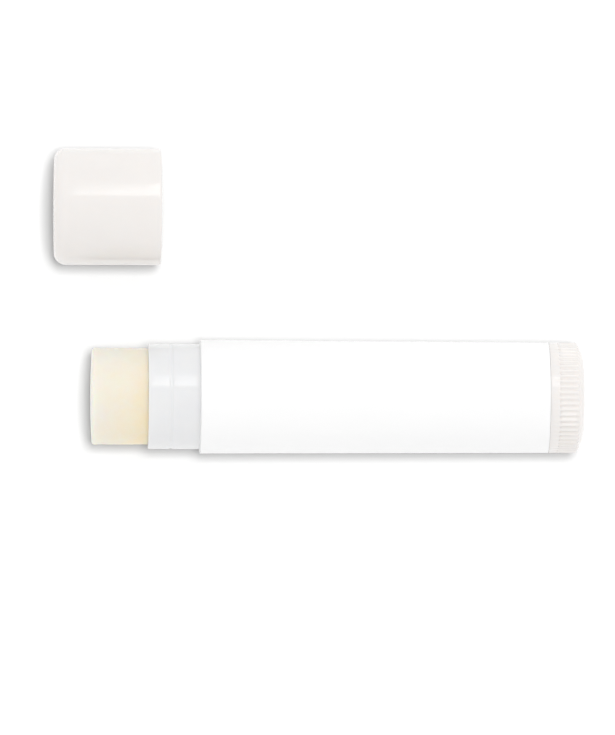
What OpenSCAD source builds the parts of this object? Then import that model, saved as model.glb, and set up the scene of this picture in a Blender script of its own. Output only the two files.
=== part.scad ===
// Twist-up lip balm stick. The tube lies on its side with the balm wound out,
// and the cap has been pulled off and lies beside it.
// Each moulding is drawn upright on its own axis, the tube's pieces from the
// wheel's base at height 0 up to the balm's tip, and is then laid down along X.
// Sizes are in millimetres.

/* [Barrel] */
// Length of the barrel from its foot to the shoulder
barrel_len = 48.8; // [40:0.05:60]
// Outer diameter of the barrel at the shoulder
barrel_d = 15.66; // [14:0.02:18]
// Moulding draft on each side, which narrows the barrel towards its foot
draft_angle = 0.27; // [0:0.01:0.4]
// Width of the shoulder that the cap's rim comes down on
shoulder_w = 0.48; // [0.4:0.02:0.8]
// Length of the neck that the cap goes over
neck_len = 7.2; // [6:0.1:9]
// Wall of the neck, outside the bore that the balm slides in
neck_wall = 0.5; // [0.45:0.01:0.8]
// Distance from the mouth to the middle of the neck's snap groove
snap_from_mouth = 3.2; // [2.5:0.1:4]
// Width of the snap groove
snap_w = 0.55; // [0.45:0.05:0.8]
// Depth of the snap groove
snap_depth = 0.18; // [0.16:0.01:0.2]
// Width of the two guide ribs inside the barrel
guide_w = 0.8; // [0.5:0.05:1.2]
// Height of the guide ribs above the bore
guide_h = 0.35; // [0.2:0.01:0.4]

/* [Label] */
// Thickness of the label film
label_t = 0.1; // [0.05:0.01:0.2]
// Length of the overlap at the label's seam
label_overlap = 3; // [2:0.1:6]
// Bare barrel left at each end of the label
label_inset = 0.05; // [0.02:0.01:1]

/* [Cap] */
// Length of the cap
cap_len = 15.1; // [14:0.1:18]
// Wall of the cap round the neck
cap_wall = 0.7; // [0.6:0.05:1.2]
// Thickness of the cap's closed end
cap_end_t = 1.1; // [0.8:0.05:1.6]
// Radius of the rounded edge at the closed end
cap_round = 1.65; // [1:0.05:2.5]
// Rise of the crowned end face above its edge
cap_crown = 0.12; // [0.05:0.01:0.3]
// Radius inside the closed end's corner
cap_inner_round = 1; // [0.5:0.1:1.5]
// Height of the snap bead above the cap's bore
cap_bead_h = 0.2; // [0.12:0.01:0.22]

/* [Wheel] */
// Height of the turning wheel
wheel_h = 4.75; // [4:0.05:7]
// Height of the smooth collar above the ribs
collar_h = 1.3; // [0.8:0.1:2]
// Number of grip ribs
rib_count = 60; // [40:1:72]
// Depth of the valleys between the ribs
rib_depth = 0.25; // [0.15:0.01:0.4]
// Width of the rounded edge at the base
foot_round_w = 2.8; // [2:0.1:3.2]
// Height of that rounded edge
foot_round_h = 1; // [0.6:0.1:1.5]
// Width of the flat ring that the stick stands on
foot_ring_w = 1.4; // [0.8:0.1:2]
// Depth of that recess
recess_depth = 0.5; // [0.3:0.1:0.8]
// Thickness of the wheel's floor above the recess
wheel_floor_t = 1.3; // [1:0.1:1.6]
// Length of the plug that snaps into the barrel's foot
plug_len = 4; // [3.5:0.1:6]
// Wall of the plug
plug_wall = 1.1; // [0.8:0.05:1.4]
// Height of the retaining bead above the plug's wall
plug_bead_h = 0.2; // [0.1:0.01:0.25]

/* [Spindle] */
// Diameter of the spindle at the root of its thread
spindle_d = 3.7; // [3.2:0.1:4.2]
// Room round the spindle for the height of its thread
thread_h = 0.65; // [0.4:0.05:0.8]
// Length of spindle that the elevator still grips when fully raised
thread_grip = 4; // [3:0.1:6]
// Flare of the spindle on each side where it leaves the wheel
spindle_flare = 1.15; // [0.8:0.05:1.6]

/* [Elevator] */
// Height of the elevator's cup
cup_h = 8.9; // [7:0.1:12]
// Wall of the cup
cup_wall = 0.75; // [0.7:0.01:0.9]
// Thickness of the cup's floor
cup_floor_t = 1; // [0.8:0.1:1.5]
// Wall of the threaded hub
hub_wall = 1.15; // [1:0.05:1.5]
// Height of the hub from the cup's underside
hub_h = 6; // [4:0.1:7]
// Number of fins that hold the balm in the cup
fin_count = 4; // [2:1:6]
// Thickness of a fin
fin_t = 0.6; // [0.4:0.05:0.8]
// Height of the fins above the cup's floor
fin_h = 4; // [2:0.1:6]

/* [Balm] */
// How far the balm stands out of the mouth
balm_out = 8.05; // [4:0.05:30]
// How far the tip is below the mouth when wound right down
tip_recess = 0.95; // [0.5:0.05:2]
// Rise of the balm's domed tip
tip_dome = 0.2; // [0.1:0.01:0.5]
// Radius of the edge round the tip
tip_round = 0.35; // [0.2:0.05:1]

/* [Fits] */
// Clearance between the sliding stick and the bore, on each side
slide_fit = 0.1; // [0.05:0.01:0.15]
// Running clearance of the wheel's plug in the barrel, on each side
plug_fit = 0.08; // [0.05:0.01:0.1]
// Clearance of the cap's bore over the neck, on each side
cap_fit = 0.1; // [0.06:0.01:0.15]
// Gap between the wheel's top and the barrel's foot
wheel_gap = 0.1; // [0.08:0.01:0.25]
// Clearance round the guide ribs and the retaining bead
key_fit = 0.12; // [0.1:0.01:0.15]
// Clearance round the spindle's thread
thread_fit = 0.15; // [0.12:0.01:0.25]
// Gap that the balm leaves to the cup as it cools and shrinks
cast_gap = 0.05; // [0.03:0.01:0.08]
// Thickness of the label's glue
glue_t = 0.02; // [0.01:0.005:0.04]
// Gap between the lowered elevator and the wheel's plug
park_gap = 0.5; // [0.3:0.1:1]
// How far the raised elevator stops below the mouth
cup_stop = 0.6; // [0.3:0.1:1]
// Gap between the spindle's tip and the end of the balm's bore
bore_end_gap = 0.6; // [0.4:0.1:1]

/* [Layout] */
// How far the cap's closed end lies past the balm's tip
cap_ahead = 5.3; // [1:0.1:20]
// Gap between the cap and the tube
cap_apart = 10.4; // [4:0.1:30]

/* [Hidden] */
$fn = 96;
// Small breaks and radii on moulded edges
edge_break = 0.1;
rim_round = 0.35;
gate_r = 0.7;
gate_depth = 0.15;
// Steps in a quarter circle of a turned outline
arc_steps = 8;
// How far joined shapes run into each other
sink = 0.1;
// How far the ridges of the ribs are drawn past the wheel's outline
crest_trim = 0.05;

// Heights along the tube
barrel_foot = wheel_h + wheel_gap;
shoulder = barrel_foot + barrel_len;
mouth = shoulder + neck_len;
tip = mouth + balm_out;
plug_top = barrel_foot + plug_len;
plug_bead_mid = barrel_foot + plug_len / 2;
guide_foot = plug_top + park_gap;

// Heights of the lifted stick, the elevator and the balm that it carries
lift = balm_out + tip_recess;
cup_low = plug_top + park_gap;
cup_base = cup_low + lift;
cup_floor = cup_base + cup_floor_t;
cup_top = cup_base + cup_h;
hub_top = cup_base + hub_h;
spindle_top = mouth - cup_stop - cup_h + thread_grip;

// Radii
barrel_r = barrel_d / 2;
barrel_foot_r = barrel_r - barrel_len * tan(draft_angle);
neck_r = barrel_r - shoulder_w;
bore_r = neck_r - neck_wall;
label_in_r = barrel_r + glue_t;
tube_r = label_in_r + label_t;
cap_bore_r = neck_r + cap_fit;
cap_r = cap_bore_r + cap_wall;
// The wheel is flush with the label
wheel_r = barrel_foot_r + glue_t + label_t;
plug_r = bore_r - plug_fit;
stick_r = bore_r - slide_fit;
cup_in_r = stick_r - cup_wall;
spindle_r = spindle_d / 2;
thread_bore_r = spindle_r + thread_h + thread_fit;
hub_r = thread_bore_r + hub_wall;
guide_in_r = bore_r - guide_h;
guide_angles = [90, 270];

// Places of the two axes, with the origin at the bottom centre of it all
total_len = tip + cap_ahead;
total_w = 2 * tube_r + cap_apart + 2 * cap_r;
tube_y = tube_r - total_w / 2;
cap_y = total_w / 2 - cap_r;
// The seam faces down and towards the cap, clear of the line the tube rests on
seam_angle = 145;

// Points along an arc about a centre, from one angle to another
function arc(centre, r, from, to) =
    [for (i = [0:arc_steps])
        let (a = from + (to - from) * i / arc_steps)
        [centre[0] + r * cos(a), centre[1] + r * sin(a)]];

// Points of a shallow dome from its edge at radius r to the axis
function dome(r, edge_z, rise) =
    let (big_r = (r * r + rise * rise) / (2 * rise))
    [for (i = [0:arc_steps])
        let (x = r * (1 - i / arc_steps))
        [x, edge_z + rise - big_r + sqrt(big_r * big_r - x * x)]];

// A ring bead or groove on a turned outline, from height mid - w / 2 upwards
function ring(r, r_crest, mid, w) =
    let (slope = abs(r_crest - r))
    [[r, mid - w / 2 - slope],
     [r_crest, mid - w / 2],
     [r_crest, mid + w / 2],
     [r, mid + w / 2 + slope]];

function flip(points) = [for (i = [len(points) - 1:-1:0]) points[i]];

module turned(points) {
    rotate_extrude()
        polygon(points);
}

// Lays an upright piece down along X, its top end towards -X
module lay_tube() {
    translate([total_len / 2, tube_y, tube_r])
        rotate([0, -90, 0])
            children();
}

module lay_cap() {
    translate([cap_len - total_len / 2, cap_y, cap_r])
        rotate([0, -90, 0])
            children();
}

// Bars along the barrel's inside, from radius r_in out to radius r_out
module guide_bars(w, r_in, r_out, from, to) {
    for (a = guide_angles)
        rotate([0, 0, a])
            translate([r_in, -w / 2, from])
                cube([r_out - r_in, w, to - from]);
}

// Fins between the hub and the cup's wall
module fins(t, top) {
    for (i = [0:fin_count - 1])
        rotate([0, 0, 45 + i * 360 / fin_count])
            translate([hub_r - sink, -t / 2, cup_floor - sink])
                cube([cup_in_r - hub_r + 2 * sink, t, top - cup_floor + sink]);
}

// Cap: a closed moulding with a crowned end, a gate mark and a snap bead
module cap() {
    bead_z = neck_len - snap_from_mouth;
    inner_end = cap_len - cap_end_t;
    // The bead clears the groove's slopes by half of the cap's own clearance
    bead_w = snap_w - 2 * cap_bead_h + cap_fit;
    outside = concat(
        arc([cap_r - rim_round, rim_round], rim_round, -90, 0),
        arc([cap_r - cap_round, cap_len - cap_crown - cap_round], cap_round, 0, 90),
        [for (p = dome(cap_r - cap_round, cap_len - cap_crown, cap_crown)) if (p[0] > gate_r) p],
        [[gate_r, cap_len - cap_crown / 2], [gate_r - edge_break, cap_len - gate_depth],
         [0, cap_len - gate_depth]]
    );
    inside = concat(
        [[0, inner_end]],
        flip(arc([cap_bore_r - cap_inner_round, inner_end - cap_inner_round], cap_inner_round, 0, 90)),
        flip(ring(cap_bore_r, cap_bore_r - cap_bead_h, bead_z, bead_w)),
        [[cap_bore_r, edge_break], [cap_bore_r + edge_break, 0]]
    );
    color([0.98, 0.96, 0.94])
        lay_cap()
            turned(concat(outside, inside));
}

// Barrel: a drafted tube with a shoulder, a reduced neck and a splined bore
module barrel() {
    outside = concat(
        [[barrel_foot_r - edge_break, barrel_foot], [barrel_foot_r, barrel_foot + edge_break]],
        arc([barrel_r - edge_break, shoulder - edge_break], edge_break, 0, 90),
        [[neck_r, shoulder]],
        ring(neck_r, neck_r - snap_depth, mouth - snap_from_mouth, snap_w - 2 * snap_depth),
        arc([neck_r - edge_break, mouth - edge_break], edge_break, 0, 90)
    );
    inside = concat(
        [[bore_r + edge_break, mouth], [bore_r, mouth - edge_break]],
        flip(ring(bore_r, bore_r + plug_bead_h + key_fit - plug_fit, plug_bead_mid,
                  plug_bead_h + 2 * key_fit)),
        [[bore_r, barrel_foot + edge_break], [bore_r + edge_break, barrel_foot]]
    );
    color([0.95, 0.95, 0.97])
        lay_tube()
            union() {
                turned(concat(outside, inside));
                guide_bars(guide_w, guide_in_r, bore_r + sink, guide_foot, shoulder);
            }
}

// Label: a film wrapped once round the barrel, with its end glued over its start
module label() {
    low = barrel_foot + edge_break + label_inset;
    high = shoulder - edge_break - label_inset;
    narrow = (high - low) * tan(draft_angle);
    top_r = label_in_r - (shoulder - high) * tan(draft_angle);
    overlap_angle = label_overlap / tube_r * 180 / PI;
    color([1, 1, 1])
        lay_tube()
            union() {
                turned([[top_r - narrow, low], [top_r - narrow + label_t, low],
                        [top_r + label_t, high], [top_r, high]]);
                rotate([0, 0, seam_angle])
                    rotate_extrude(angle = overlap_angle)
                        polygon([[top_r - narrow + label_t / 2, low],
                                 [top_r - narrow + 2 * label_t, low],
                                 [top_r + 2 * label_t, high],
                                 [top_r + label_t / 2, high]]);
            }
}

// Elevator: a cup that carries the balm, keyed to the guide ribs, with a hub
// that runs on the spindle
module elevator() {
    color([0.93, 0.94, 0.95])
        lay_tube()
            difference() {
                union() {
                    turned([
                        [thread_bore_r, cup_base],
                        [stick_r - edge_break, cup_base],
                        [stick_r, cup_base + edge_break],
                        [stick_r, cup_top],
                        [cup_in_r, cup_top],
                        [cup_in_r, cup_floor],
                        [hub_r, cup_floor],
                        [hub_r, hub_top - edge_break],
                        [hub_r - edge_break, hub_top],
                        [thread_bore_r, hub_top]
                    ]);
                    fins(fin_t, cup_floor + fin_h);
                }
                guide_bars(guide_w + 2 * key_fit, guide_in_r - key_fit, stick_r + sink,
                           cup_base - sink, cup_top + sink);
            }
}

// Balm: the cast stick, which fills the cup and is cored by the spindle
module balm() {
    body_foot = cup_top + cast_gap;
    color([0.97, 0.93, 0.84])
        lay_tube()
            difference() {
                turned(concat(
                    [
                        [0, spindle_top + bore_end_gap + lift],
                        [thread_bore_r, spindle_top + bore_end_gap + lift],
                        [thread_bore_r, hub_top + cast_gap],
                        [hub_r + cast_gap, hub_top + cast_gap],
                        [hub_r + cast_gap, cup_floor + cast_gap],
                        [cup_in_r - cast_gap, cup_floor + cast_gap],
                        [cup_in_r - cast_gap, body_foot],
                        [stick_r, body_foot]
                    ],
                    arc([stick_r - tip_round, tip - tip_dome - tip_round], tip_round, 0, 90),
                    dome(stick_r - tip_round, tip - tip_dome, tip_dome)
                ));
                fins(fin_t + 2 * cast_gap, cup_floor + fin_h + cast_gap);
                guide_bars(guide_w + 2 * key_fit, guide_in_r - key_fit, stick_r + sink,
                           body_foot - sink, shoulder + lift + key_fit);
            }
}

// Outline of the grip ribs, each a rounded ridge with a flat valley beside it.
// The ridges run a little past the wheel's outline, which trims their crests.
function rib_outline() =
    let (pitch = 360 / rib_count, valley_r = wheel_r - rib_depth)
    [for (i = [0:rib_count - 1])
        for (p = [[-0.34, 0], [-0.2, 0.75], [-0.08, 1], [0.08, 1], [0.2, 0.75], [0.34, 0]])
            let (r = valley_r + (rib_depth + crest_trim) * p[1], a = (i + p[0]) * pitch)
            [r * cos(a), r * sin(a)]];

// Drive screw: the ribbed wheel, its snap plug and the spindle in one moulding
module drive_screw() {
    rib_top = wheel_h - collar_h;
    floor_top = recess_depth + wheel_floor_t;
    plug_in_r = plug_r - plug_wall;
    foot_r = wheel_r - foot_round_w;
    recess_r = foot_r - foot_ring_w;
    round_r = (foot_round_w * foot_round_w + foot_round_h * foot_round_h) / (2 * foot_round_h);
    round_end = asin(foot_round_w / round_r);
    outline = concat(
        [[0, recess_depth + gate_depth], [gate_r, recess_depth + gate_depth],
         [gate_r, recess_depth], [recess_r - edge_break, recess_depth], [recess_r, 0]],
        arc([foot_r, round_r], round_r, -90, -90 + round_end),
        [[wheel_r, wheel_h - edge_break], [wheel_r - edge_break, wheel_h], [plug_r, wheel_h]],
        ring(plug_r, plug_r + plug_bead_h, plug_bead_mid, plug_bead_h),
        [
            [plug_r, plug_top - 2 * edge_break],
            [plug_r - edge_break, plug_top],
            [plug_in_r, plug_top],
            [plug_in_r, floor_top],
            [spindle_r + spindle_flare, floor_top],
            [spindle_r, plug_top],
            [spindle_r, spindle_top - 2 * edge_break],
            [spindle_r - 2 * edge_break, spindle_top],
            [0, spindle_top]
        ]
    );
    color([0.97, 0.95, 0.93])
        lay_tube()
            intersection() {
                turned(outline);
                union() {
                    linear_extrude(height = rib_top)
                        polygon(rib_outline());
                    translate([0, 0, rib_top])
                        cylinder(r = 2 * wheel_r, h = spindle_top);
                }
            }
}

cap();
barrel();
label();
elevator();
balm();
drive_screw();
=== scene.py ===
"""Looks of a twist-up lip balm stick that lies on a white table with its cap off beside it.

Every moulding is turned on its own axis. A turned outline is a list of (radius, height) in
millimetres. Heights run from the wheel's base up to the balm's tip, or from the cap's rim up to
its closed end, and both axes lie along X with their upper ends towards -X.
"""

import math

import bmesh
import bpy
from mathutils import Matrix, Vector, noise


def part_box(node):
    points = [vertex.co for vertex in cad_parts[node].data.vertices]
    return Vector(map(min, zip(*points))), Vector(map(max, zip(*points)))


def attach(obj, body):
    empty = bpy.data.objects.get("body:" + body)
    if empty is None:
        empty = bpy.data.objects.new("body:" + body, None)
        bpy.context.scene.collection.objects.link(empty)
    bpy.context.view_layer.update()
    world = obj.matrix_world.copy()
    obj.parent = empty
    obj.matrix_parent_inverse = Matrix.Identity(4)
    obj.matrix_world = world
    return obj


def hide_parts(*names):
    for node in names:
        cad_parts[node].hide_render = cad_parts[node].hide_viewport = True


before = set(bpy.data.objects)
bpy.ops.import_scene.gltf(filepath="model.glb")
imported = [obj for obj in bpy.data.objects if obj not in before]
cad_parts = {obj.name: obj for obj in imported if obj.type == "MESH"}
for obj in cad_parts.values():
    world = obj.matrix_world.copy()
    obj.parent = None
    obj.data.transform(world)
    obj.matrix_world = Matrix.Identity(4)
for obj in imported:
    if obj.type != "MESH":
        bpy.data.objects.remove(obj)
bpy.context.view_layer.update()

MM = 0.001
FULL_TURN = 2 * math.pi
NEAR = 1e-6


# The frame's own measures

def middle(node):
    """Middle of a node's box."""
    low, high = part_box(node)
    return (low + high) / 2


tube_mid = middle("barrel")
cap_mid = middle("cap")
tube_axis = (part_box("drive_screw")[1].x, tube_mid.y, tube_mid.z)
cap_axis = (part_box("cap")[1].x, cap_mid.y, cap_mid.z)


def height_of(x):
    """Height along the tube, in millimetres, of a place on X."""
    return (tube_axis[0] - x) / MM


def across(node):
    """Radius of a round node, in millimetres, from its box."""
    low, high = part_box(node)
    return (high.y - low.y) / 2 / MM


foot = height_of(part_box("barrel")[1].x)
mouth = height_of(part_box("barrel")[0].x)
tip = height_of(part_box("balm")[0].x)
spindle_top = height_of(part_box("drive_screw")[0].x)
cup_base = height_of(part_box("elevator")[1].x)
cup_top = height_of(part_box("elevator")[0].x)
label_high = height_of(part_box("label")[0].x)
cap_len = (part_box("cap")[1].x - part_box("cap")[0].x) / MM


# Sizes in millimetres that the boxes don't give, the same as in the CAD source

# Barrel
neck_len = 7.2
draft = math.tan(math.radians(0.27))
shoulder_w = 0.48
neck_wall = 0.5
snap_from_mouth = 3.2
snap_w = 0.55
guide_w = 0.8
guide_h = 0.35

# Label
glue_t = 0.02
label_t = 0.1
label_overlap = 3.0
seam_angle = math.radians(145)

# Cap
cap_end_t = 1.1
cap_round = 1.65
cap_crown = 0.12
cap_inner_round = 1.0
cap_bead_h = 0.2

# Wheel
wheel_h = 4.75
collar_h = 1.3
rib_depth = 0.25
rib_count = 60
foot_round_w = 2.8
foot_round_h = 1.0
foot_ring_w = 1.4
recess_depth = 0.5
wheel_floor_t = 1.3
plug_len = 4.0
plug_wall = 1.1
plug_bead_h = 0.2

# Spindle
spindle_r = 1.85
spindle_flare = 1.15
thread_h = 0.65

# Elevator and balm
hub_wall = 1.15
hub_h = 6.0
cup_floor_t = 1.0
cup_wall = 0.75
tip_dome = 0.2
tip_round = 0.35
tip_recess = 0.95

# Fits and gaps
cap_fit = 0.1
plug_fit = 0.08
thread_fit = 0.15
slide_fit = 0.1
key_fit = 0.12
cast_gap = 0.05
park_gap = 0.5
bore_end_gap = 0.6

# Gate marks
gate_r = 0.7
gate_depth = 0.15


# Sizes in millimetres of this scene alone

# Softer or closer than in the CAD source: the snap groove, the wheel's seat and the label's wrap
soft_snap_w = 0.6
soft_snap_depth = 0.07
seat_gap = 0.015
label_skew = 0.02

# Small edges of the mouldings: a sharp one, a common one and a softer one
sharp_edge = 0.02
edge = 0.05
soft_edge = 0.08

# Thread, which the CAD source leaves out, and the gap between its flanks
thread_lead = 3.0
thread_root_w = 1.2
thread_crest_w = 0.7
thread_gap = 0.2


# Sizes that follow from the others

shoulder = mouth - neck_len
barrel_r = across("barrel")
barrel_foot_r = barrel_r - (shoulder - foot) * draft
neck_r = barrel_r - shoulder_w
bore_r = neck_r - neck_wall
stick_r = bore_r - slide_fit
plug_r = bore_r - plug_fit
wheel_r = barrel_foot_r + glue_t + label_t
cap_r = across("cap")
cap_bore_r = neck_r + cap_fit
plug_top = foot + plug_len
thread_bore_r = spindle_r + thread_h + thread_fit
hub_r = thread_bore_r + hub_wall
cup_in_r = stick_r - cup_wall
lift = tip - mouth + tip_recess


# Meshes

def rounded(corners, closed=False, steps=6):
    """Outline through corners (radius, height, rounding), each rounded by an arc."""
    count = len(corners)
    points = []
    for i, (r, h, rounding) in enumerate(corners):
        if rounding <= 0 or (not closed and i in (0, count - 1)):
            points.append((r, h))
            continue
        here = Vector((r, h))
        back = Vector(corners[i - 1][:2]) - here
        ahead = Vector(corners[(i + 1) % count][:2]) - here
        half = back.angle(ahead) / 2
        run = min(rounding / math.tan(half), 0.49 * back.length, 0.49 * ahead.length)
        arc_r = run * math.tan(half)
        back.normalize()
        ahead.normalize()
        centre = here + (back + ahead).normalized() * (arc_r / math.sin(half))
        start = here + back * run - centre
        sweep = start.angle_signed(here + ahead * run - centre)
        first = math.atan2(start.y, start.x)
        for k in range(steps + 1):
            a = first - sweep * k / steps
            points.append((centre.x + arc_r * math.cos(a), centre.y + arc_r * math.sin(a)))
    return points


def dome(radius, edge_h, rise, steps=10):
    """Shallow dome from its edge to the axis."""
    big = (radius ** 2 + rise ** 2) / (2 * rise)
    return [
        (radius * (1 - k / steps),
         edge_h + rise - big + math.sqrt(big ** 2 - (radius * (1 - k / steps)) ** 2))
        for k in range(steps + 1)
    ]


def divided(points, longest):
    """The same outline with its long straight runs cut into equal pieces."""
    out = [points[0]]
    for (r0, h0), (r1, h1) in zip(points, points[1:]):
        parts = max(1, math.ceil(math.hypot(r1 - r0, h1 - h0) / longest))
        out += [(r0 + (r1 - r0) * k / parts, h0 + (h1 - h0) * k / parts)
                for k in range(1, parts + 1)]
    return out


def no_doubles(points, least=1e-4):
    """The same outline without points that repeat the one before."""
    out = []
    for p in points:
        if not out or math.hypot(p[0] - out[-1][0], p[1] - out[-1][1]) > least:
            out.append(p)
    return out


def on_axis(axis, r, h, angle):
    """Point at a radius, height and angle, the angle turning from +Z towards +Y."""
    return Vector((
        axis[0] - h * MM,
        axis[1] + r * MM * math.sin(angle),
        axis[2] + r * MM * math.cos(angle),
    ))


def from_guides(angle):
    """Angle to the nearer of the two guide ribs, which lie at +Y and -Y."""
    return min(abs(angle - math.pi / 2), abs(angle - 3 * math.pi / 2))


def finished(name, bm, sharp=40):
    """An object from a bmesh, smooth but for its sharp edges."""
    bmesh.ops.recalc_face_normals(bm, faces=bm.faces)
    mesh = bpy.data.meshes.new(name)
    bm.to_mesh(mesh)
    bm.free()
    mesh.shade_smooth()
    mesh.set_sharp_from_angle(angle=math.radians(sharp))
    piece = bpy.data.objects.new(name, mesh)
    bpy.context.scene.collection.objects.link(piece)
    return piece


def turned(name, axis, outline, steps=192, shape=None, sharp=40):
    """A turned solid. An outline that starts and ends on the axis is open there, and any other
    closes on itself. shape(r, h, angle) gives a point's radius where the solid isn't round."""
    bm = bmesh.new()
    rings = []
    for r, h in outline:
        if r < NEAR:
            rings.append([bm.verts.new(on_axis(axis, 0, h, 0))])
            continue
        ring = []
        for k in range(steps):
            angle = FULL_TURN * k / steps
            radius = shape(r, h, angle) if shape else r
            ring.append(bm.verts.new(on_axis(axis, radius, h, angle)))
        rings.append(ring)
    closed = outline[0][0] > NEAR
    pairs = list(zip(rings, rings[1:]))
    if closed:
        pairs.append((rings[-1], rings[0]))
    for a, b in pairs:
        for k in range(steps):
            n = (k + 1) % steps
            if len(a) == 1 and len(b) == 1:
                break
            if len(a) == 1:
                bm.faces.new((a[0], b[k], b[n]))
            elif len(b) == 1:
                bm.faces.new((a[k], a[n], b[0]))
            else:
                bm.faces.new((a[k], a[n], b[n], b[k]))
    return finished(name, bm, sharp)


def ridge(name, axis, low, high, root_r, crest_r, root_w, crest_w, phase, steps=40):
    """A left-hand thread's ridge between two heights, which fades out over its last quarter turns."""
    thinnest = 0.06
    quarter = steps / 4
    turns = (high - low) / thread_lead
    count = int(turns * steps)
    bm = bmesh.new()
    rings = []
    for k in range(count + 1):
        h = low + (high - low) * k / count
        angle = -FULL_TURN * (h - phase) / thread_lead
        fade = min(1.0, thinnest + min(k, count - k) / quarter)
        top_r = root_r + (crest_r - root_r) * fade
        section = [(root_r, -root_w / 2), (top_r, -crest_w / 2), (top_r, crest_w / 2),
                   (root_r, root_w / 2)]
        rings.append([bm.verts.new(on_axis(axis, r, h + dh, angle)) for r, dh in section])
    sides = 4
    for a, b in zip(rings, rings[1:]):
        for k in range(sides):
            n = (k + 1) % sides
            bm.faces.new((a[k], a[n], b[n], b[k]))
    bm.faces.new(rings[0])
    bm.faces.new(list(reversed(rings[-1])))
    return finished(name, bm, sharp=30)


# Materials

def hue(r, g, b):
    """Linear colour from a colour written as 0 to 255 sRGB."""
    def linear(c):
        c = c / 255
        return c / 12.92 if c <= 0.04045 else ((c + 0.055) / 1.055) ** 2.4
    return (linear(r), linear(g), linear(b), 1)


def shader_of(name, **sockets):
    """A new material and its Principled shader, with plain values on the named sockets."""
    material = bpy.data.materials.new(name)
    material.use_nodes = True
    shader = material.node_tree.nodes["Principled BSDF"]
    for socket, value in sockets.items():
        shader.inputs[socket.replace("_", " ")].default_value = value
    return material, material.node_tree, shader


def millimetres(tree, stretch=(1, 1, 1)):
    """The piece's own coordinates in millimetres, stretched along each axis."""
    place = tree.nodes.new("ShaderNodeTexCoord")
    mapping = tree.nodes.new("ShaderNodeMapping")
    mapping.inputs["Scale"].default_value = [s / MM for s in stretch]
    tree.links.new(place.outputs["Object"], mapping.inputs["Vector"])
    return mapping.outputs["Vector"]


def grain(tree, scale, stretch=(1, 1, 1), detail=4, rough=0.55):
    """Noise from 0 to 1, with scale features in a millimetre."""
    texture = tree.nodes.new("ShaderNodeTexNoise")
    texture.inputs["Scale"].default_value = scale
    texture.inputs["Detail"].default_value = detail
    texture.inputs["Roughness"].default_value = rough
    tree.links.new(millimetres(tree, stretch), texture.inputs["Vector"])
    return texture.outputs["Fac"]


def spread(tree, value, low, high, from_low=0.3, from_high=0.7):
    """The value's middle range spread between low and high."""
    node = tree.nodes.new("ShaderNodeMapRange")
    node.inputs["From Min"].default_value = from_low
    node.inputs["From Max"].default_value = from_high
    node.inputs["To Min"].default_value = low
    node.inputs["To Max"].default_value = high
    tree.links.new(value, node.inputs["Value"])
    return node.outputs["Result"]


def joined(tree, operation, first, second):
    """Two values added, multiplied or put through another operation of the Math node."""
    node = tree.nodes.new("ShaderNodeMath")
    node.operation = operation
    tree.links.new(first, node.inputs[0])
    tree.links.new(second, node.inputs[1])
    return node.outputs["Value"]


def mixed(tree, factor, first, second):
    """A colour between two, each a colour or another node's output."""
    node = tree.nodes.new("ShaderNodeMix")
    node.data_type = "RGBA"
    tree.links.new(factor, node.inputs["Factor"])
    for socket, colour in (("A", first), ("B", second)):
        target = [i for i in node.inputs if i.name == socket and i.type == "RGBA"][0]
        if isinstance(colour, tuple):
            target.default_value = colour
        else:
            tree.links.new(colour, target)
    return [o for o in node.outputs if o.type == "RGBA"][0]


def bumped(tree, shader, *layers):
    """Bump from layers of (height socket, strength, depth in millimetres)."""
    normal = None
    for height, strength, depth in layers:
        node = tree.nodes.new("ShaderNodeBump")
        node.inputs["Strength"].default_value = strength
        node.inputs["Distance"].default_value = depth * MM
        tree.links.new(height, node.inputs["Height"])
        if normal:
            tree.links.new(normal, node.inputs["Normal"])
        normal = node.outputs["Normal"]
    tree.links.new(normal, shader.inputs["Normal"])


def moulded_plastic(name, tone, shade, roughness, glow):
    """Moulded polypropylene: two near tones, uneven gloss, faint flow marks and fine scuffs."""
    material, tree, shader = shader_of(
        name,
        IOR=1.49,
        Subsurface_Weight=glow,
        Subsurface_Radius=(1.0, 0.9, 0.8),
        Subsurface_Scale=1.2 * MM,
    )
    clouds = grain(tree, scale=0.22, detail=3)
    flow = grain(tree, scale=1.1, stretch=(0.25, 1, 1), detail=3)
    scuffs = grain(tree, scale=6, stretch=(0.08, 1, 1), detail=5)
    fine = grain(tree, scale=14, detail=2)
    tree.links.new(mixed(tree, spread(tree, clouds, 0, 1), tone, shade), shader.inputs["Base Color"])
    polish = spread(tree, clouds, roughness - 0.02, roughness + 0.02)
    wear = spread(tree, scuffs, -0.02, 0.05, from_low=0.4, from_high=0.75)
    tree.links.new(joined(tree, "ADD", polish, wear), shader.inputs["Roughness"])
    bumped(tree, shader, (flow, 0.12, 0.01), (scuffs, 0.08, 0.003), (fine, 0.08, 0.002))
    return material


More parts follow.
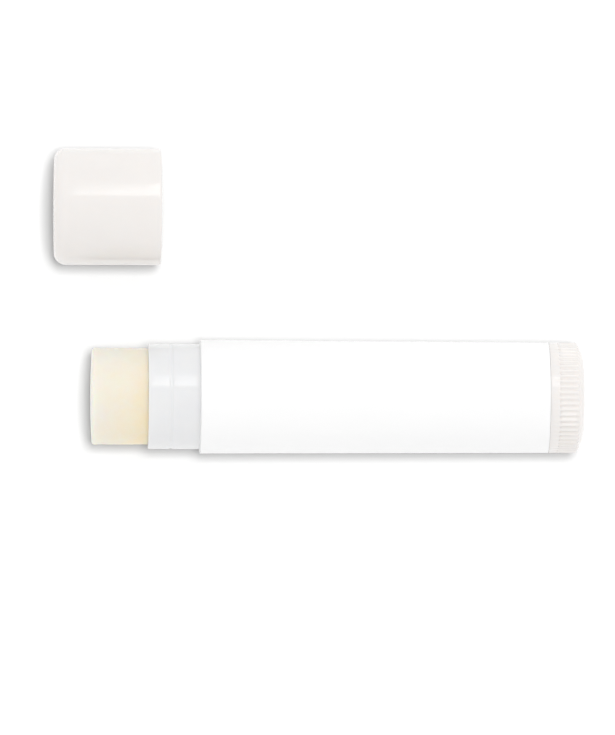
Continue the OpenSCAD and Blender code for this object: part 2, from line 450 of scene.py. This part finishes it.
def balm_wax():
    """Cast wax: pale at the tip and warm cream towards the mouth, the warmer end near the mouth
    partly painted shade from the tube, and paler on its top side with warmer below as painted light
    from above;
    with soft clouding under the surface, fine drag lines along the stick and a few faint rings."""
    pale_to_warm_len = 12.5
    material, tree, shader = shader_of(
        "balm_wax",
        IOR=1.44,
        Subsurface_Weight=0.85,
        Subsurface_Radius=(1.0, 0.72, 0.42),
        Subsurface_Scale=1.0 * MM,
    )
    place = tree.nodes.new("ShaderNodeTexCoord")
    split = tree.nodes.new("ShaderNodeSeparateXYZ")
    tree.links.new(place.outputs["Object"], split.inputs["Vector"])
    tip_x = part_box("balm")[0].x
    # Pale at the tip, warm cream towards the mouth: the warmer, darker end near the mouth is partly
    # painted shade from the tube.
    along = spread(tree, split.outputs["X"], 0, 1, from_low=tip_x, from_high=tip_x + pale_to_warm_len * MM)
    reach = stick_r * MM
    # Painted light: the stick's colour is paler on its top side (+Y) and warmer below, as if lit from
    # above.
    painted_top_light = spread(tree, split.outputs["Y"], 1.5, 0.6,
                  from_low=tube_mid.y - reach, from_high=tube_mid.y + reach)
    clouds = spread(tree, grain(tree, scale=0.35, detail=4), -0.12, 0.12)
    # depth here is the share of warm cream. It carries the painted shade towards the mouth and the
    # painted light on the top side, plus random clouding.
    depth = joined(tree, "ADD", joined(tree, "MULTIPLY", along, painted_top_light), clouds)
    body = mixed(tree, depth, hue(238, 236, 227), hue(244, 226, 191))
    mottle = grain(tree, scale=1.6, detail=5, rough=0.6)
    specks = spread(tree, mottle, 0, 0.35, from_low=0.45, from_high=0.8)
    tree.links.new(mixed(tree, specks, body, hue(241, 239, 231)), shader.inputs["Base Color"])
    drag = grain(tree, scale=3.2, stretch=(0.06, 1, 1), detail=4)
    rings = grain(tree, scale=1.4, stretch=(1, 0.04, 0.04), detail=3)
    tree.links.new(spread(tree, mottle, 0.42, 0.58), shader.inputs["Roughness"])
    bumped(tree, shader, (mottle, 0.3, 0.02), (drag, 0.3, 0.01), (rings, 0.25, 0.012))
    return material


def label_film():
    """White film: bright and satin, with the faintest tooth and a slight wave from wrapping."""
    material, tree, shader = shader_of(
        "label_film",
        IOR=1.46,
        Subsurface_Weight=0.1,
        Subsurface_Radius=(1.0, 1.0, 1.0),
        Subsurface_Scale=0.3 * MM,
    )
    clouds = grain(tree, scale=0.12, detail=2)
    tooth = grain(tree, scale=9, detail=3)
    wave = grain(tree, scale=0.25, stretch=(0.3, 1, 1), detail=2)
    paper = mixed(tree, spread(tree, clouds, 0, 1), hue(254, 254, 254), hue(255, 255, 255))
    tree.links.new(paper, shader.inputs["Base Color"])
    tree.links.new(spread(tree, tooth, 0.42, 0.52), shader.inputs["Roughness"])
    bumped(tree, shader, (wave, 0.2, 0.02), (tooth, 0.15, 0.003))
    return material


cap_plastic = moulded_plastic(
    "cap_plastic", tone=hue(239, 235, 232), shade=hue(237, 233, 230), roughness=0.13, glow=0.25)
wheel_plastic = moulded_plastic(
    "wheel_plastic", tone=hue(242, 238, 235), shade=hue(240, 236, 233), roughness=0.15, glow=0.25)
barrel_plastic = moulded_plastic(
    "barrel_plastic", tone=hue(238, 238, 238), shade=hue(235, 235, 236), roughness=0.16, glow=0.25)
inner_plastic = moulded_plastic(
    "inner_plastic", tone=hue(233, 233, 235), shade=hue(230, 231, 234), roughness=0.3, glow=0.2)
wax = balm_wax()
film = label_film()


def dressed(piece, material, body, slot, *nodes):
    """Gives a piece its material, the body it rides on and the nodes that it stands for."""
    piece.data.materials.clear()
    piece.data.materials.append(material)
    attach(piece, body)
    if nodes:
        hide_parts(*nodes)
    return piece


# Pieces

def cap_piece():
    """The cap: crowned closed end with a gate mark, bore with a snap bead, rounded rim."""
    rim_w = 0.3
    rim_round = 0.3
    lead_in = 0.15
    gate_lip = 0.02
    gate_slope = 0.12
    crown_foot = cap_len - cap_crown
    gate_floor = cap_len - gate_depth
    inner_end = cap_len - cap_end_t
    bead = neck_len - snap_from_mouth
    bead_w = snap_w - 2 * cap_bead_h + cap_fit
    bead_r = cap_bore_r - cap_bead_h
    crown = [p for p in dome(cap_r - cap_round, crown_foot, cap_crown) if p[0] > gate_r + 0.1]
    outside = rounded([
        (cap_r - 2 * rim_w, 0, 0), (cap_r, 0, rim_round), (cap_r, crown_foot, cap_round),
        (cap_r - 3 * cap_round, crown_foot, 0),
    ], steps=12)[:-1] + crown[1:]
    gate = [(gate_r, cap_len - gate_lip), (gate_r - gate_slope, gate_floor), (0, gate_floor)]
    inside = rounded([
        (0, inner_end, 0), (cap_bore_r, inner_end, cap_inner_round),
        (cap_bore_r, bead + bead_w / 2 + cap_bead_h, 0.1), (bead_r, bead + bead_w / 2, soft_edge),
        (bead_r, bead - bead_w / 2, soft_edge), (cap_bore_r, bead - bead_w / 2 - cap_bead_h, 0.1),
        (cap_bore_r, lead_in, 0.1), (cap_bore_r + lead_in, 0, 0.06), (cap_r - rim_w, 0, 0),
    ], steps=6)[:-1]
    outline = [(0, gate_floor)] + gate[1::-1] + outside[::-1] + inside[::-1] + [(0, inner_end)]
    piece = turned("cap_shell", cap_axis, divided(no_doubles(outline), 1.5), steps=256)
    return dressed(piece, cap_plastic, "cap", "cap_plastic", "cap")


def barrel_piece():
    """The barrel: drafted body, shoulder, neck with its snap groove, bore with two guide ribs."""
    mouth_round = 0.16
    groove_blend = 0.5
    lead_in_w = 0.1
    lead_in_h = 0.15
    run_out = 0.2
    snap = mouth - snap_from_mouth
    snap_flat = soft_snap_w / 4
    snap_r = neck_r - soft_snap_depth
    plug_mid = foot + plug_len / 2
    groove_r = bore_r + plug_bead_h + key_fit - plug_fit
    groove_w = plug_bead_h / 2 + key_fit
    groove_slope = groove_r - bore_r
    guide_foot = plug_top + park_gap
    corners = [
        (bore_r + lead_in_w, foot, 0.04), (barrel_foot_r, foot, sharp_edge),
        (barrel_r, shoulder, soft_edge), (neck_r, shoulder, edge),
        (neck_r, snap - soft_snap_w / 2, groove_blend), (snap_r, snap - snap_flat, groove_blend),
        (snap_r, snap + snap_flat, groove_blend), (neck_r, snap + soft_snap_w / 2, groove_blend),
        (neck_r, mouth, mouth_round), (bore_r + lead_in_w, mouth, 0.04),
        (bore_r, mouth - lead_in_h, edge),
        (bore_r, shoulder, 0), (bore_r, shoulder - run_out, 0), (bore_r, guide_foot + run_out, 0),
        (bore_r, guide_foot, 0),
        (bore_r, plug_mid + groove_w + groove_slope, edge), (groove_r, plug_mid + groove_w, edge),
        (groove_r, plug_mid - groove_w, edge), (bore_r, plug_mid - groove_w - groove_slope, edge),
        (bore_r, foot + lead_in_h, edge),
    ]
    half_rib = guide_w / 2 / bore_r

    def ribbed_bore(r, h, angle):
        inside = abs(r - bore_r) < NEAR and guide_foot + run_out / 2 < h < shoulder - run_out / 2
        off = from_guides(angle)
        if inside and off < half_rib * 1.15:
            return r - guide_h * min(1, (half_rib * 1.15 - off) / (half_rib * 0.3))
        return r

    outline = rounded(corners, closed=True, steps=5)
    piece = turned("tube_barrel", tube_axis, divided(outline, 0.8), steps=288, shape=ribbed_bore)
    return dressed(piece, barrel_plastic, "barrel", "barrel_plastic", "barrel")


def label_piece():
    """The label: one strip wrapped round the barrel, its end stuck down over its start."""
    steps = 300
    rows = 60
    climb = math.radians(5)
    lap_gap = 0.01
    overlap = label_overlap / barrel_r
    low = foot + label_skew / 2
    high = label_high
    bm = bmesh.new()
    sheets = []
    for side in (0, 1):
        grid = []
        for i in range(steps + 1):
            turn = (FULL_TURN + overlap) * i / steps
            angle = seam_angle + turn
            over = min(1, max(0, (turn - FULL_TURN + climb) / climb))
            over = over * over * (3 - 2 * over)
            shift = label_skew * (turn / FULL_TURN - 0.5)
            column = []
            for j in range(rows + 1):
                h = low + (high - low) * j / rows
                base = barrel_r + glue_t - (shoulder - h) * draft
                r = base + side * label_t + over * (label_t + lap_gap)
                column.append(bm.verts.new(on_axis(tube_axis, r, h + shift, angle)))
            grid.append(column)
        sheets.append(grid)
    inner, outer = sheets
    for i in range(steps):
        for j in range(rows):
            bm.faces.new((outer[i][j], outer[i + 1][j], outer[i + 1][j + 1], outer[i][j + 1]))
            bm.faces.new((inner[i][j], inner[i][j + 1], inner[i + 1][j + 1], inner[i + 1][j]))
        bm.faces.new((inner[i][0], inner[i + 1][0], outer[i + 1][0], outer[i][0]))
        bm.faces.new((inner[i][rows], outer[i][rows], outer[i + 1][rows], inner[i + 1][rows]))
    for j in range(rows):
        bm.faces.new((inner[0][j], outer[0][j], outer[0][j + 1], inner[0][j + 1]))
        bm.faces.new((inner[steps][j], inner[steps][j + 1], outer[steps][j + 1], outer[steps][j]))
    piece = finished("wrap_label", bm, sharp=50)
    return dressed(piece, film, "barrel", "label_film", "label")


def balm_piece():
    """The wax stick: domed tip, soft edge, two grooves from the guide ribs, a cored foot."""
    bore_top = spindle_top + bore_end_gap + lift
    hub_top = cup_base + hub_h
    floor = cup_base + cup_floor_t
    body_foot = cup_top + cast_gap
    crown = dome(stick_r - tip_round, tip - tip_dome, tip_dome, steps=24)
    tip_edge = rounded([
        (stick_r, body_foot, 0), (stick_r, tip - tip_dome, tip_round),
        (stick_r - 1.2, tip - tip_dome, 0),
    ], steps=10)[:-1]
    core = rounded([
        (0, bore_top, 0), (thread_bore_r, bore_top, 0.3),
        (thread_bore_r, hub_top + cast_gap, edge), (hub_r + cast_gap, hub_top + cast_gap, edge),
        (hub_r + cast_gap, floor + cast_gap, 0.1), (cup_in_r - cast_gap, floor + cast_gap, 0.1),
        (cup_in_r - cast_gap, body_foot, edge), (stick_r, body_foot, 0),
    ], steps=4)
    outline = divided(core[:-1] + tip_edge + crown[1:], 0.5)
    groove_top = shoulder + lift + key_fit
    groove_half = (guide_w / 2 + key_fit) / stick_r
    groove_depth = guide_h + key_fit - slide_fit
    groove_run_out = 0.2
    skin = 0.9
    wave = 0.025
    ripple = 0.012

    def cast(r, h, angle):
        out = r
        if h > body_foot and r > stick_r - skin and h < tip - 0.01:
            side = min(1, max(0, (groove_half * 1.1 - from_guides(angle)) / (groove_half * 0.25)))
            end = min(1, max(0, (groove_top - h) / groove_run_out))
            out -= groove_depth * side * end
        if h > mouth - 1 and r > 0.5:
            place = Vector((h * 0.5, 2.2 * math.sin(angle), 2.2 * math.cos(angle)))
            out += wave * noise.noise(place) + ripple * noise.noise(place * 3.1)
            out = min(out, stick_r + 0.02)
        return out

    piece = turned("balm_stick", tube_axis, outline, steps=288, shape=cast, sharp=60)
    return dressed(piece, wax, "stick", "wax", "balm")


def wheel_piece():
    """The turning wheel with its ribs, snap plug and spindle, all one moulding."""
    collar_edge = 0.03
    rib_end = 0.02
    rib_run_out = 0.12
    plug_lead_w = 0.15
    plug_lead_h = 0.3
    spindle_end = 0.3
    rib_top = wheel_h - collar_h
    collar_top = foot - seat_gap
    foot_r = wheel_r - foot_round_w
    recess_r = foot_r - foot_ring_w
    floor_top = recess_depth + wheel_floor_t
    gate_floor = recess_depth + gate_depth
    plug_in_r = plug_r - plug_wall
    bead_r = plug_r + plug_bead_h
    bead_mid = foot + plug_len / 2
    round_r = (foot_round_w ** 2 + foot_round_h ** 2) / (2 * foot_round_h)
    round_end = math.asin(foot_round_w / round_r)
    arc_steps = 12
    foot_arc = [
        (foot_r + round_r * math.sin(round_end * k / arc_steps),
         round_r * (1 - math.cos(round_end * k / arc_steps)))
        for k in range(arc_steps + 1)
    ]
    base = rounded([
        (0, gate_floor, 0), (gate_r - 0.1, gate_floor, edge), (gate_r, recess_depth, edge),
        (recess_r - 0.15, recess_depth, soft_edge), (recess_r, 0, 0.12), (foot_r - 0.2, 0, 0),
    ], steps=4)
    side = divided([foot_arc[-1], (wheel_r, rib_top - rib_end)], 0.35)[1:]
    upper = rounded([
        (wheel_r, rib_top + rib_run_out, 0), (wheel_r, collar_top, collar_edge),
        (plug_r, collar_top, soft_edge),
        (plug_r, bead_mid - plug_bead_h * 1.5, edge), (bead_r, bead_mid - plug_bead_h / 2, 0.06),
        (bead_r, bead_mid + plug_bead_h / 2, 0.06), (plug_r, bead_mid + plug_bead_h * 1.5, edge),
        (plug_r, plug_top - plug_lead_h, 0.1), (plug_r - plug_lead_w, plug_top, edge),
        (plug_in_r, plug_top, soft_edge),
        (plug_in_r, floor_top, 0.2), (spindle_r + spindle_flare, floor_top, 0.2),
        (spindle_r, plug_top, 0.6), (spindle_r, spindle_top - spindle_end, 0.1),
        (spindle_r - spindle_end, spindle_top, 0.1), (0, spindle_top, 0),
    ], steps=5)
    outline = base + foot_arc + side + upper
    valley_r = wheel_r - rib_depth

    def ribbed(r, h, angle):
        if h > rib_top + 0.05 or r < foot_r:
            return r
        phase = (angle * rib_count / FULL_TURN + 0.5) % 1 - 0.5
        crest = 0.5 + 0.5 * math.cos(FULL_TURN * phase)
        return min(r, valley_r + rib_depth * crest)

    steps_in_rib = 12
    piece = turned("grip_wheel", tube_axis, outline, steps=rib_count * steps_in_rib, shape=ribbed,
                   sharp=50)
    return dressed(piece, wheel_plastic, "wheel", "wheel_plastic", "drive_screw")


def threads():
    """The spindle's thread and the one in the elevator's hub, half a lead apart."""
    sink = 0.06
    hub_inset = 1.1
    free = 2 * thread_gap
    outer = ridge("spindle_thread", tube_axis, plug_top + 1.2, spindle_top - 1.0,
                  spindle_r - sink, spindle_r + thread_h, thread_root_w, thread_crest_w, 0)
    dressed(outer, wheel_plastic, "wheel", "wheel_plastic")
    inner = ridge("hub_thread", tube_axis, cup_base + hub_inset, cup_base + hub_h - hub_inset,
                  thread_bore_r + sink, spindle_r + thread_fit,
                  thread_lead - thread_crest_w - free, thread_lead - thread_root_w - free,
                  thread_lead / 2)
    dressed(inner, inner_plastic, "stick", "barrel_plastic")


def keep_node(node, material):
    """Gives a CAD node that stays in view a material of its own."""
    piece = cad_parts[node]
    piece.data.materials.clear()
    piece.data.materials.append(material)


cap_piece()
barrel_piece()
label_piece()
balm_piece()
wheel_piece()
threads()
keep_node("elevator", inner_plastic)


# Floor, light and camera

FLOOR_SIZE = 4.0
FLOOR_WHITE = 0.38
FLOOR_BOUNCE = 0.33
FILL = 0.97
FILL_LEAN = 0.01
PHOTO_HEIGHT = 735
PIXELS_PER_MM = 7.15


def camera_share(tree):
    """1 for what the camera sees straight, in a reflection or through a clear body."""
    path = tree.nodes.new("ShaderNodeLightPath")
    value = path.outputs["Is Camera Ray"]
    for name in ("Is Glossy Ray", "Is Transmission Ray"):
        value = joined(tree, "MAXIMUM", value, path.outputs[name])
    return value


def make_floor():
    """A white floor, a little less bright in the light that it sends back to the object."""
    bm = bmesh.new()
    bmesh.ops.create_grid(bm, x_segments=1, y_segments=1, size=FLOOR_SIZE / 2)
    mesh = bpy.data.meshes.new("floor")
    bm.to_mesh(mesh)
    bm.free()
    floor = bpy.data.objects.new("floor", mesh)
    bpy.context.scene.collection.objects.link(floor)
    material = bpy.data.materials.new("floor_white")
    material.use_nodes = True
    tree = material.node_tree
    tree.nodes.clear()
    diffuse = tree.nodes.new("ShaderNodeBsdfDiffuse")
    tone = spread(tree, camera_share(tree), FLOOR_BOUNCE, FLOOR_WHITE, from_low=0, from_high=1)
    tree.links.new(tone, diffuse.inputs["Color"])
    out = tree.nodes.new("ShaderNodeOutputMaterial")
    tree.links.new(diffuse.outputs["BSDF"], out.inputs["Surface"])
    mesh.materials.append(material)
    return floor


def make_world():
    """A white surround for the camera and reflections, and for the rest an even fill that is
    slightly stronger from +Y."""
    world = bpy.data.worlds.new("studio")
    bpy.context.scene.world = world
    world.use_nodes = True
    tree = world.node_tree
    background = tree.nodes["Background"]
    background.inputs["Color"].default_value = (1, 1, 1, 1)
    place = tree.nodes.new("ShaderNodeTexCoord")
    split = tree.nodes.new("ShaderNodeSeparateXYZ")
    tree.links.new(place.outputs["Generated"], split.inputs["Vector"])
    fill = spread(tree, split.outputs["Y"], FILL - FILL_LEAN, FILL + FILL_LEAN,
                  from_low=-1, from_high=1)
    mix = tree.nodes.new("ShaderNodeMix")
    tree.links.new(camera_share(tree), mix.inputs["Factor"])
    tree.links.new(fill, mix.inputs["A"])
    mix.inputs["B"].default_value = 1
    tree.links.new(mix.outputs["Result"], background.inputs["Strength"])


def area_light(name, place, size, radiance):
    """A soft box at a place, aimed at the middle of the object, of a given brightness."""
    data = bpy.data.lights.new(name, "AREA")
    data.shape = "RECTANGLE"
    data.size, data.size_y = size
    data.energy = radiance * math.pi * size[0] * size[1]
    light = bpy.data.objects.new(name, data)
    light.location = Vector(place)
    light.rotation_mode = "QUATERNION"
    light.rotation_quaternion = Vector(place).to_track_quat("Z", "Y")
    light.visible_camera = False
    bpy.context.scene.collection.objects.link(light)
    return light


def make_lamps(floor):
    """A key for the object's highlights, and a wide lamp that looks straight down and lights the
    floor alone, so that the floor is white but for the object's shadow."""
    area_light("key", place=(0.065, 0.39, 0.58), size=(0.17, 0.31), radiance=3.0)
    floor_only = bpy.data.collections.new("floor_only")
    floor_only.objects.link(floor)
    lamp = area_light("floor_lamp", place=(0.129, 0.14, 3.0), size=(0.56, 0.765), radiance=124)
    lamp.rotation_quaternion = (1, 0, 0, 0)
    lamp.light_linking.receiver_collection = floor_only


def make_camera():
    """A long lens almost straight overhead, from slightly beyond the balm's end."""
    frame_height = PHOTO_HEIGHT / PIXELS_PER_MM * MM
    target = Vector((-1.43, -9.23, 8)) * MM
    place = Vector((-52.5 * MM, target.y, 1.475))
    roll = math.radians(0.2)
    data = bpy.data.cameras.new("camera")
    data.sensor_width = 36
    data.lens = data.sensor_width * (place - target).length / frame_height
    data.clip_end = 20
    camera = bpy.data.objects.new("camera", data)
    bpy.context.scene.collection.objects.link(camera)
    back = (place - target).normalized()
    level = Vector((0, 1, 0)).cross(back).normalized()
    right = level * math.cos(roll) + back.cross(level) * math.sin(roll)
    camera.location = place
    camera.rotation_mode = "QUATERNION"
    camera.rotation_quaternion = Matrix((right, back.cross(right), back)).transposed().to_quaternion()
    bpy.context.scene.camera = camera


floor = make_floor()
make_world()
make_lamps(floor)
make_camera()

bpy.context.scene.view_settings.view_transform = "Standard"
